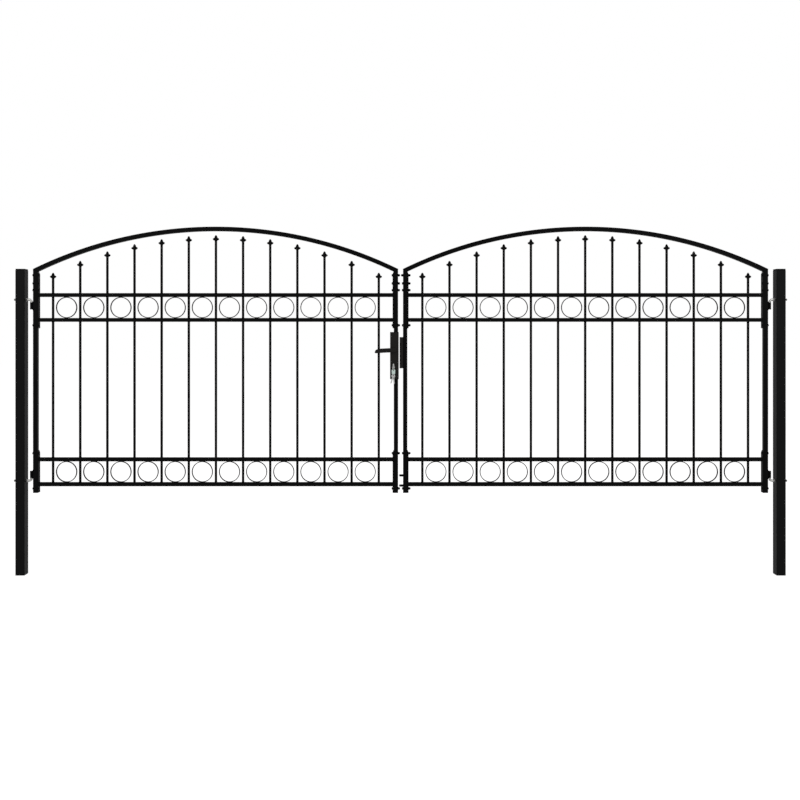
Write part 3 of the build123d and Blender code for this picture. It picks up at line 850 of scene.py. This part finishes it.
# %% Stile plugs
PLUG_RIM = 2.6 * MM
plugs_low, plugs_high = corners("left_stile_caps")
plug_low = [leaf_start, -tube / 2, plugs_low[2]]
plug_high = [leaf_start + tube, tube / 2, plugs_high[2]]
plugs = both_ends(soft_box(plug_low, plug_high, TUBE_CORNER, PLUG_RIM))
add_pair("stile_plugs", plugs, ["stile_caps"], "black_plastic")

# %% [markdown]
# ## Hinges
# Each hinge is a zinc-plated rod, threaded into the post and bent up or down, that turns in a
# bored barrel on the stile. A thread is one long ridge wound round the rod. It could be a screw
# modifier on a small profile, but a rod whose radius follows a slanted wave is a single closed
# surface: the wave moves on by one pitch for each turn round the rod.

# %% Bent and threaded rods
THREAD_PITCH = 1.5 * MM
THREAD_DEPTH = 0.9 * MM
THREAD_END = 42 * MM
THREAD_ROWS = 6
ROD_COLUMNS = 20
ROD_POINT = 0.78
ROD_POINT_LENGTH = 1 * MM
HINGE_BEND = 12 * MM
SHANK_HEIGHTS = {1: 611 * MM, -1: 1791 * MM}
BARREL_FROM_SHANK = 18 * MM
BARREL_LENGTH = 46 * MM
SHOULDER_FLATS = 13 * MM

# The rods' box takes in the hexagon shoulder, so this radius is half its width over corners.
rods_low, rods_high = corners("left_gudgeons")
rod_radius = rods_high[1]
hinge_axis = rods_high[0] - SHOULDER_FLATS / 2 / np.cos(np.pi / 6)


def rod_line(turn):
    """The rod's middle line: through the post, round a quarter circle, then up or down."""
    row = THREAD_PITCH / THREAD_ROWS
    threads = [np.arange(rods_low[0], post_low[0], row), np.arange(half_side, THREAD_END, row)]
    straight = np.concatenate(threads)
    angle = np.linspace(0, np.pi / 2, 13)
    bend = hinge_axis - HINGE_BEND + HINGE_BEND * np.sin(angle)
    rise = HINGE_BEND * (1 - np.cos(angle))
    tip = BARREL_FROM_SHANK + BARREL_LENGTH
    x = np.concatenate([straight, bend, [hinge_axis] * 2])
    z = np.concatenate([0 * straight, rise, [tip - ROD_POINT_LENGTH, tip]])
    return np.stack([x, 0 * x, SHANK_HEIGHTS[turn] + turn * z], -1)


def threaded_rod(turn):
    """The rod's circle less the thread: its depth times a wave of distance less turn."""
    line = rod_line(turn)
    run = distance_run(line)[:, None]
    around = np.arange(ROD_COLUMNS) / ROD_COLUMNS
    wave = np.abs(((run / THREAD_PITCH - around) % 1) * 2 - 1)
    threaded = line[:, :1] < THREAD_END - THREAD_PITCH
    swell = 1 - np.where(threaded, THREAD_DEPTH / rod_radius * wave, 0)
    from_end = np.minimum(run, run[-1] - run) / ROD_POINT_LENGTH
    swell = np.minimum(swell, ROD_POINT + (1 - ROD_POINT) * from_end)
    return carried(circle(rod_radius, ROD_COLUMNS), line, Y, swell=swell)


# %% Nuts, washers and shoulders
WASHER = np.array([[9.6, 0], [10, 0.3], [10, 1.5], [9.6, 1.8]]) * MM
NUT_FLATS = 17 * MM
NUT_THICKNESS = 8 * MM
NUT_POINTS = 48
NUT_LEVELS = np.array([0, 0.06, 0.14, 0.86, 0.94, 1])
NUT_CONE = np.array([0.96, 1.06, 1.2, 1.2, 1.06, 0.96])
SHOULDER_THICKNESS = 4 * MM
SHOULDER_GAP = 0.3 * MM
SIXTH = np.pi / 3


def hexagon_nut(across_flats, thickness):
    """A hexagon's radius at each turn, held under a cone near both faces, as a nut is cut."""
    flat = 1 / np.cos((turns(NUT_POINTS) + SIXTH / 2) % SIXTH - SIXTH / 2)
    radius = across_flats / 2 * np.minimum(flat, NUT_CONE[:, None])
    x, y = circle(1.0, NUT_POINTS).T
    return grid(radius * x, radius * y, thickness * NUT_LEVELS[:, None])


def hinge_metal(turn):
    """One rod with the nut and washer that hold it on the post's inner face."""
    height = SHANK_HEIGHTS[turn]
    nut_face = half_side + WASHER[-1, 1]
    parts = [
        threaded_rod(turn),
        laid(turned(WASHER), X, Y, [half_side, 0, height]),
        laid(hexagon_nut(NUT_FLATS, NUT_THICKNESS), X, Y, [nut_face, 0, height]),
    ]
    if turn > 0:
        seat = rods_low[2] + rod_radius + BARREL_FROM_SHANK - SHOULDER_GAP - SHOULDER_THICKNESS
        shoulder = hexagon_nut(SHOULDER_FLATS, SHOULDER_THICKNESS)
        parts.append(laid(shoulder, Z, Y, [hinge_axis, 0, seat]))
    return together(*parts)


rods = together(hinge_metal(1), hinge_metal(-1))
add_pair("hinge_rods", rods, ["gudgeons"], "zinc_plate", "posts")

# %% Barrels, lugs and their welds
LUG_HALF = 2.5 * MM
LUG_OVERHANG = 18 * MM
LUG_BEAD = 1.5 * MM
LUG_BEAD_STEP_OUT = 1 * MM
BORE = rod_radius + 0.15 * MM
BARREL_EDGE = 0.7 * MM
BARREL_POINTS = 32

barrel_radius = corners("left_hinge_eyes")[1][1]
barrel_wall = hinge_axis + (BORE + barrel_radius) / 2
barrel_side = hinge_axis + barrel_radius


def barrel(low):
    """A bored tube: a rounded rectangle, wall by length, carried round the hinge's axis."""
    section = rounded(barrel_radius - BORE, BARREL_LENGTH, BARREL_EDGE)
    line = level_circle((BORE + barrel_radius) / 2, BARREL_POINTS)
    return carried(section, line + [hinge_axis, 0, low + BARREL_LENGTH / 2], Z, joined=True)


def hinge_barrel(low):
    """The barrel, its flat lug on the stile and the beads down both of the lug's long joints."""
    high = low + BARREL_LENGTH
    foot, head = low - LUG_OVERHANG, high + LUG_OVERHANG
    outline = [
        [barrel_wall, low], [barrel_side, low], [leaf_start, foot],
        [leaf_start, head], [barrel_side, high], [barrel_wall, high],
    ]
    joints = [
        (leaf_start, LUG_HALF, foot, head), (barrel_side, LUG_HALF + LUG_BEAD_STEP_OUT, low, high),
    ]
    beads = []
    for side in (-1, 1):
        for x, y, start, end in joints:
            heights = np.arange(start, end, BEAD_STEP)
            line = np.stack([0 * heights + x, 0 * heights + side * y, heights], -1)
            beads.append(bead(line, Y, LUG_BEAD))
    return together(barrel(low), plate(outline, -LUG_HALF, LUG_HALF), *beads)


upper_barrel = hinge_barrel(SHANK_HEIGHTS[-1] - BARREL_FROM_SHANK - BARREL_LENGTH)
lower_barrel = hinge_barrel(SHANK_HEIGHTS[1] + BARREL_FROM_SHANK)
add_pair("hinge_barrels", together(upper_barrel, lower_barrel), ["hinge_eyes"])

# %% [markdown]
# ## Lock, cylinder and keys
# The lock is a long box that wraps the stile. Its cover is folded sheet with soft corners, held
# by small screws, and a thin seam runs round it. The cylinder goes right through, with its round
# plug below. The street side has the key in it, with a green tag and two more keys below.

# %% Lock case with its screws and rosettes
COVER_DEPTH = 6 * MM
COVER_CORNER = 4 * MM
COVER_RIM = 1.8 * MM
CASE_CORNER = 1.5 * MM
CASE_RIM = 0.8 * MM
SEAM = 0.7 * MM
SEAM_INSET = np.array([1.5, 1, 1.5]) * MM
SEAM_CORNER = 1 * MM
SEAM_RIM = 0.5 * MM
SCREW = np.array([[3.6, 0], [3.6, 0.35], [2.952, 0.75], [1.08, 0.8]]) * MM
SCREW_ASIDE = 4 * MM
SCREW_HEIGHTS = np.array([16, 150, 291]) * MM
ROSETTE = np.array([[15, 0], [15, 2], [14.2, 3], [11.5, 3.6], [11, 3.6]]) * MM

case_low, case_high = corners("lock_case")
spindle = sum(corners("lever_spindle")) / 2
case = soft_box(case_low + COVER_DEPTH * Y, case_high - COVER_DEPTH * Y, CASE_CORNER, CASE_RIM)
seam = soft_box(case_low + SEAM_INSET, case_high - SEAM_INSET, SEAM_CORNER, SEAM_RIM)
case_width, _, case_height = case_high - case_low
cover_outline = rounded(case_width, case_height, COVER_CORNER, arc_points=6)
cover_outline += ((case_low + case_high) / 2)[[0, 2]]
cover_back = case_low[1] + COVER_DEPTH - SEAM
case_cover = plate(cover_outline, case_low[1], cover_back, COVER_RIM, steps=5)

screw = laid(turned(SCREW, 24), -Y, Z, [spindle[0] - SCREW_ASIDE, case_low[1], case_low[2]])
case_front = together(case_cover, repeated(screw, [[0, 0, z] for z in SCREW_HEIGHTS]))
lock_box = together(case, seam, both_faces(case_front))
add("lock_box", lock_box, "left_leaf", "black_lever", ["lock_case"])

rosette = laid(turned(ROSETTE, 40), -Y, Z, [spindle[0], case_low[1], spindle[2]])
add("lever_rosettes", both_faces(rosette), "left_leaf", "black_lever")

# %% Lock cylinder
TAIL_HALF = 5 * MM
CYLINDER_RIM = 0.6 * MM
CORE = np.array([[6.6, 0], [6.6, 0.4], [6.1, 0.8]]) * MM
KEYWAY_WIDTH, KEYWAY_HEIGHT, KEYWAY_CORNER, KEYWAY_RIM = np.array([2.2, 8, 0.5, 0.1]) * MM
KEYWAY_START, KEYWAY_END = 0.4 * MM, 0.9 * MM

cylinder_low, cylinder_high = corners("lock_cylinder")
plug_radius = (cylinder_high[0] - cylinder_low[0]) / 2
cylinder_x = (cylinder_high[0] + cylinder_low[0]) / 2
cylinder_z = cylinder_low[2] + plug_radius


def cylinder_outline():
    """Anticlockwise: the round plug's circle below, then the narrow tail's half circle above."""
    start = np.arcsin(TAIL_HALF / plug_radius)
    plug_part = arc(plug_radius, np.linspace(np.pi / 2 + start, 2.5 * np.pi - start, 40))
    top = cylinder_high[2] - cylinder_z - TAIL_HALF
    tail = arc(TAIL_HALF, np.linspace(0, np.pi, 14)) + [0, top]
    return np.concatenate([plug_part, tail]) + [cylinder_x, cylinder_z]


cylinder = plate(cylinder_outline(), cylinder_low[1], cylinder_high[1], CYLINDER_RIM, steps=4)
core = laid(turned(CORE, 36), -Y, Z, [cylinder_x, cylinder_low[1], cylinder_z])
lock_barrel = together(cylinder, both_faces(core))
add("lock_barrel", lock_barrel, "left_leaf", "nickel", ["lock_cylinder"])
# The keyway is not cut into the plug: a thin black plate just off its far face is painted shade,
# standing for the dark inside the slot.
keyway_outline = rounded(KEYWAY_WIDTH, KEYWAY_HEIGHT, KEYWAY_CORNER) + [cylinder_x, cylinder_z]
far_face = cylinder_high[1]
painted_keyway_shade = plate(keyway_outline, far_face + KEYWAY_START, far_face + KEYWAY_END, KEYWAY_RIM)
add("painted_keyway_shade", painted_keyway_shade, "left_leaf", "black_plastic")

# %% [markdown]
# A key is stamped from plate: a round bow with its hole near the rim, and a blade cut to a row of
# teeth with a groove along it. The teeth are a zigzag added to the blade's edge. The ring is thin
# wire, and wire is a circle carried round a circle.

# %% Keys, rings and tag
BOW_RADIUS = 11.5 * MM
HOLE_RADIUS = 3.5 * MM
HOLE_OFFSET = 6 * MM
KEY_HALF = 1.1 * MM
KEY_RIM = 0.25 * MM
BLADE_HALF = 4 * MM
BLADE_END = 48.5 * MM
TEETH_START = 16 * MM
TEETH_END = 46.5 * MM
TOOTH_DEPTHS = np.array([0.6, 1.9, 1.1, 2.3, 0.8, 1.6, 0.4]) * MM
RIB_LOW = np.array([-2.4, -1.35, -50]) * MM
RIB_HIGH = np.array([-1.2, 1.35, -20]) * MM
RIB_RIM = 0.2 * MM
WIRE_RADIUS = 0.9 * MM
WIRE_POINTS = 8
LOOP_POINTS = 40


def key_shape():
    """A key hung from its hole: a holed bow, a toothed blade and a raised rib on both faces."""
    bow_middle = np.array([0, -HOLE_OFFSET])
    bow_outline = circle(BOW_RADIUS, 36) + bow_middle
    bow = holed_plate(bow_outline, np.zeros(2), HOLE_RADIUS, -KEY_HALF, KEY_HALF)
    heights = np.linspace(-TEETH_START, -TEETH_END, 2 * len(TOOTH_DEPTHS) + 1)
    edge = np.full(len(heights), BLADE_HALF)
    edge[1::2] -= TOOTH_DEPTHS
    teeth = np.stack([edge, heights], -1)
    tip = -BLADE_END - BLADE_HALF / 2
    back = [[-BLADE_HALF, -BOW_RADIUS], [-BLADE_HALF, -BLADE_END], [0, tip]]
    blade = np.concatenate([back, teeth[::-1], [[BLADE_HALF, -BOW_RADIUS]]]) + bow_middle
    rib = soft_box(RIB_LOW, RIB_HIGH, KEY_RIM, RIB_RIM)
    return together(bow, plate(blade, -KEY_HALF, KEY_HALF, KEY_RIM), rib)


def wire_loop(drop, pinch=0.0):
    """A wire circle hung from the origin, narrower towards its top by the pinch."""
    turn = turns(LOOP_POINTS)
    fall = (1 - np.cos(turn)) / 2
    side = drop / 2 * np.sin(turn) * (1 - pinch * (1 - fall))
    line = np.stack([side, 0 * turn, -drop * fall], -1)
    return carried(circle(WIRE_RADIUS, WIRE_POINTS), line, Y, joined=True)


def spun(shape, angle, axis):
    """The shape turned about an axis: its two other coordinates mixed by cosine and sine."""
    plane = [[1, 2], [2, 0], [0, 1]][axis]
    cosine, sine = np.cos(angle), np.sin(angle)
    image = shape[0].copy()
    image[:, plane] = image[:, plane] @ [[cosine, sine], [-sine, cosine]]
    return image, shape[1]


def moved(shape, place):
    """The shape with one step added to all its points."""
    return shape[0] + np.asarray(place), shape[1]


# %% Hang the keys
KEY_SHOULDER = 3 * MM
RING_DROP = 19 * MM
RING_PINCH = 0.35
RING_TURN = 0.6
TAG_WIDE = 23 * MM
TAG_TALL = 32 * MM
TAG_CORNER = 6 * MM
TAG_FLARE = 0.12
TAG_HALF = 1.5 * MM
TAG_RIM = 0.6 * MM
TAG_TURN = 0.3
SMALL_DROP = 10.2 * MM
SMALL_TURN = 1.3
SPARE_STEP = 1.8 * MM
SPARE_TURNS = ((-1, 0.35, 0.3), (1, -0.4, -0.1))

ring_y = cylinder_low[1] - KEY_SHOULDER - BOW_RADIUS - HOLE_OFFSET
ring_top = [cylinder_x, ring_y, cylinder_z]
inserted = moved(spun(spun(key_shape(), np.pi / 2, 0), np.pi / 2, 1), ring_top)
big_ring = moved(spun(wire_loop(RING_DROP, RING_PINCH), RING_TURN, 2), ring_top)

tag_hole = cylinder_z - RING_DROP
tag_middle = tag_hole + HOLE_OFFSET - TAG_TALL / 2
tag_outline = rounded(TAG_WIDE, TAG_TALL, TAG_CORNER, arc_points=8)
tag_outline[:, 0] *= 1 + TAG_FLARE * tag_outline[:, 1] / TAG_TALL
hole_in_tag = np.array([0, tag_hole - tag_middle])
tag = holed_plate(tag_outline, hole_in_tag, HOLE_RADIUS, -TAG_HALF, TAG_HALF, TAG_RIM)
tag = moved(spun(tag, TAG_TURN, 2), [cylinder_x, ring_y, tag_middle])

small_top = tag_hole + 2 * HOLE_OFFSET - TAG_TALL
small_ring = spun(wire_loop(SMALL_DROP), SMALL_TURN, 2)
small_ring = moved(small_ring, [cylinder_x, ring_y, small_top])
spares = []
for side, yaw, lean in SPARE_TURNS:
    spare = spun(spun(key_shape(), yaw, 2), lean, 1)
    spares.append(moved(spare, [cylinder_x, ring_y + side * SPARE_STEP, small_top - SMALL_DROP]))
keys = together(inserted, big_ring, small_ring, *spares)
add("keys_and_rings", keys, "left_leaf", "nickel", ["key_bunch"])
add("key_tag", tag, "left_leaf", "key_plastic")
print("the keys hang to", keys[0][:, 2].min(), "and the model's to", corners("key_bunch")[0][2])

# %% [markdown]
# ## Lever handles
# The lever is a round neck and a flat grip that tapers to a returned end, the shape that keeps a
# sleeve from catching. The grip's outline is drawn with straight edges, and cutting its corners
# off three times makes them flow. Its broad rim is then drawn in along a quarter circle.

# %% Levers
GRIP_DEPTH = 9 * MM
GRIP_RIM = 2.6 * MM
DROOP = np.radians(2.5)
GRIP = np.array([
    [9.5, 8], [0, 13.5], [-60, 13.8], [-119, 13.0], [-130, -8],
    [-126, -15], [-116, -14.2], [-60, -13.2], [0, -13.5], [9.5, -8],
]) * MM
NECK = np.array([[9, 0], [9, 3], [8.2, 6], [8.2, 14], [9.2, 20], [9.2, 22]]) * MM
NECK_GAP = 0.6 * MM
END_WIDTH, END_HEIGHT, END_CORNER = np.array([9, 11, 2.5]) * MM
END_X, END_Z = -121.5 * MM, -8 * MM
END_START, END_REACH = 3 * MM, 12 * MM

grip_front = corners("lever_handles")[0][1]
grip_back = grip_front + GRIP_DEPTH
grip = plate(softened(GRIP, 3), grip_front, grip_back, GRIP_RIM, steps=6)
neck = laid(turned(NECK), -Y, Z, [0, case_low[1] - NECK_GAP, 0])
end_line = [[END_X, grip_front + END_START, END_Z], [END_X, grip_back + END_REACH, END_Z]]
returned_end = carried(rounded(END_WIDTH, END_HEIGHT, END_CORNER), end_line, Z)
lever = spun(together(grip, neck, returned_end), -DROOP, 1)
lever = moved(lever, [spindle[0], 0, spindle[2]])
add("lever_grips", both_faces(lever), "lever", "black_lever", ["lever_handles"])

# %% Drop-rod lugs
LUG_HOLE = 6.5 * MM
LUG_THICKNESS = 12 * MM
LUG_RIM = 0.8 * MM
guides_low, guides_high = corners("drop_rod_guides")
lug_half = (guides_high[1] - guides_low[1]) / 2


def rod_lug():
    """A drilled lug laid flat: a half circle towards the gap, straight sides to the stile."""
    middle = np.array([lug_half, 0])
    nose = arc(lug_half, np.linspace(np.pi / 2, 1.5 * np.pi, 17)) + middle
    reach = guides_high[0] - guides_low[0]
    outline = np.concatenate([nose, [[reach, -lug_half], [reach, lug_half]]])
    points, faces = holed_plate(outline, middle, LUG_HOLE, 0, LUG_THICKNESS, LUG_RIM)
    return points[:, [0, 2, 1]] + [guides_low[0], 0, 0], [block[:, ::-1] for block in faces]


lug_heights = [guides_low[2], guides_high[2] - LUG_THICKNESS]
lugs = repeated(rod_lug(), [[0, 0, z] for z in lug_heights])
add("rod_lugs", lugs, "right_leaf", "black_powder_coat", ["drop_rod_guides"])

# %% [markdown]
# ## Camera, floor and light
# The photograph was taken from the street, level, with the lens at eye height a little above the
# middle of the gate. The horizon lies above the picture's middle, so the lens is shifted rather
# than tilted, which keeps the posts upright. The room is plain and white.

# %% Camera
EYE = (gate_middle, -5.5, 1.541)
FOCAL_LENGTH = 37.95
LENS_SHIFT = (-0.0007, -0.0775)
SENSOR_WIDTH = 36
FARTHEST_SEEN = 200

camera_data = bpy.data.cameras.new("camera")
camera_data.lens = FOCAL_LENGTH
camera_data.sensor_width = SENSOR_WIDTH
camera_data.shift_x, camera_data.shift_y = LENS_SHIFT
camera_data.clip_end = FARTHEST_SEEN
bpy.context.scene.camera = stand("camera", camera_data, EYE, (np.pi / 2, 0, 0))
print("camera at", EYE)

# %% Floor
FLOOR_REACH = 40.0
FLOOR_LIFT = 0.87
FLOOR_LIT = (0.81, 0.81, 0.81)
FLOOR_SEEN = (0.25, 0.25, 0.25)

floor_mesh = bpy.data.meshes.new("floor")
floor_corners = [[-1, -1, 0], [1, -1, 0], [1, 1, 0], [-1, 1, 0]]
floor_points = np.array(floor_corners) * FLOOR_REACH + [gate_middle, 0, 0]
floor_mesh.from_pydata(floor_points.tolist(), [], [[0, 1, 2, 3]])
floor = stand("floor", floor_mesh)


def seen_ray(tree):
    """One for rays from the eye, straight or by way of metal or glass, and nought for the rest."""
    seen = made(tree, "LightPath", "Is Camera Ray", {})
    for kind in ("Is Glossy Ray", "Is Transmission Ray"):
        other = made(tree, "LightPath", kind, {})
        seen = made(tree, "Math", "Value", {0: seen, 1: other}, operation="MAXIMUM")
    return seen


tree, shader, place = start_finish("pale_floor")
seen = seen_ray(tree)
lift = made(tree, "Math", "Value", {0: seen, 1: FLOOR_LIFT}, operation="MULTIPLY")
give(tree, shader, {
    "Base Color": tint(tree, seen, FLOOR_LIT, FLOOR_SEEN),
    "Roughness": ramp(tree, cloud(tree, place, 600 * MM, 2), 0.88, 0.94),
    "Specular IOR Level": 0.0, "Emission Color": (1, 1, 1, 1), "Emission Strength": lift,
})
floor_mesh.materials.append(FINISHES["pale_floor"])
print("floor is ready")

# %% World and lamps
WORLD_LIGHT = 0.55
LAMPS = [
    ("street_left", (-2.5, -6.0, 4.5), (1.2, 0, 1.0), 170, 4.0),
    ("street_right", (7.5, -6.0, 4.5), (3.8, 0, 1.0), 170, 4.0),
    ("yard", (2.5, 5.5, 6.5), (2.5, 0, 1.0), 200, 4.0),
]

world = bpy.data.worlds.new("white room")
bpy.context.scene.world = world
world.use_nodes = True
tree = world.node_tree
light = {"Value": seen_ray(tree), "To Min": WORLD_LIGHT, "To Max": 1.0}
strength = made(tree, "MapRange", "Result", light)
give(tree, tree.nodes["Background"], {"Color": (1, 1, 1, 1), "Strength": strength})

for name, place, aim, power, size in LAMPS:
    lamp_data = bpy.data.lights.new(name, "AREA")
    lamp_data.energy = power
    lamp_data.size = size
    x, y, z = np.array(aim) - np.array(place)
    turn = (np.arctan2(np.hypot(x, y), -z), 0, np.arctan2(-x, y))
    stand(name, lamp_data, place, turn).visible_camera = False
print(len(LAMPS), "lamps and a white room")

# %% [markdown]
# ## Finish for what the model shows as it is
# The model's own nodes that stay in view get the finishes too.

# %% Give the remaining nodes their finish
KEPT_FINISHES = {part["node"]: part["material_slot"] for part in frame["record"]["subparts"]}
KEPT_FINISHES["keeper_box"] = "black_lever"
for node, piece in frame["nodes"].items():
    if not piece.hide_render:
        piece.data.materials.clear()
        piece.data.materials.append(FINISHES[KEPT_FINISHES[node]])
        print(node, "keeps its shape and is given", KEPT_FINISHES[node])

# %% Show the colours with the plain view transform
bpy.context.scene.view_settings.view_transform = "Standard"
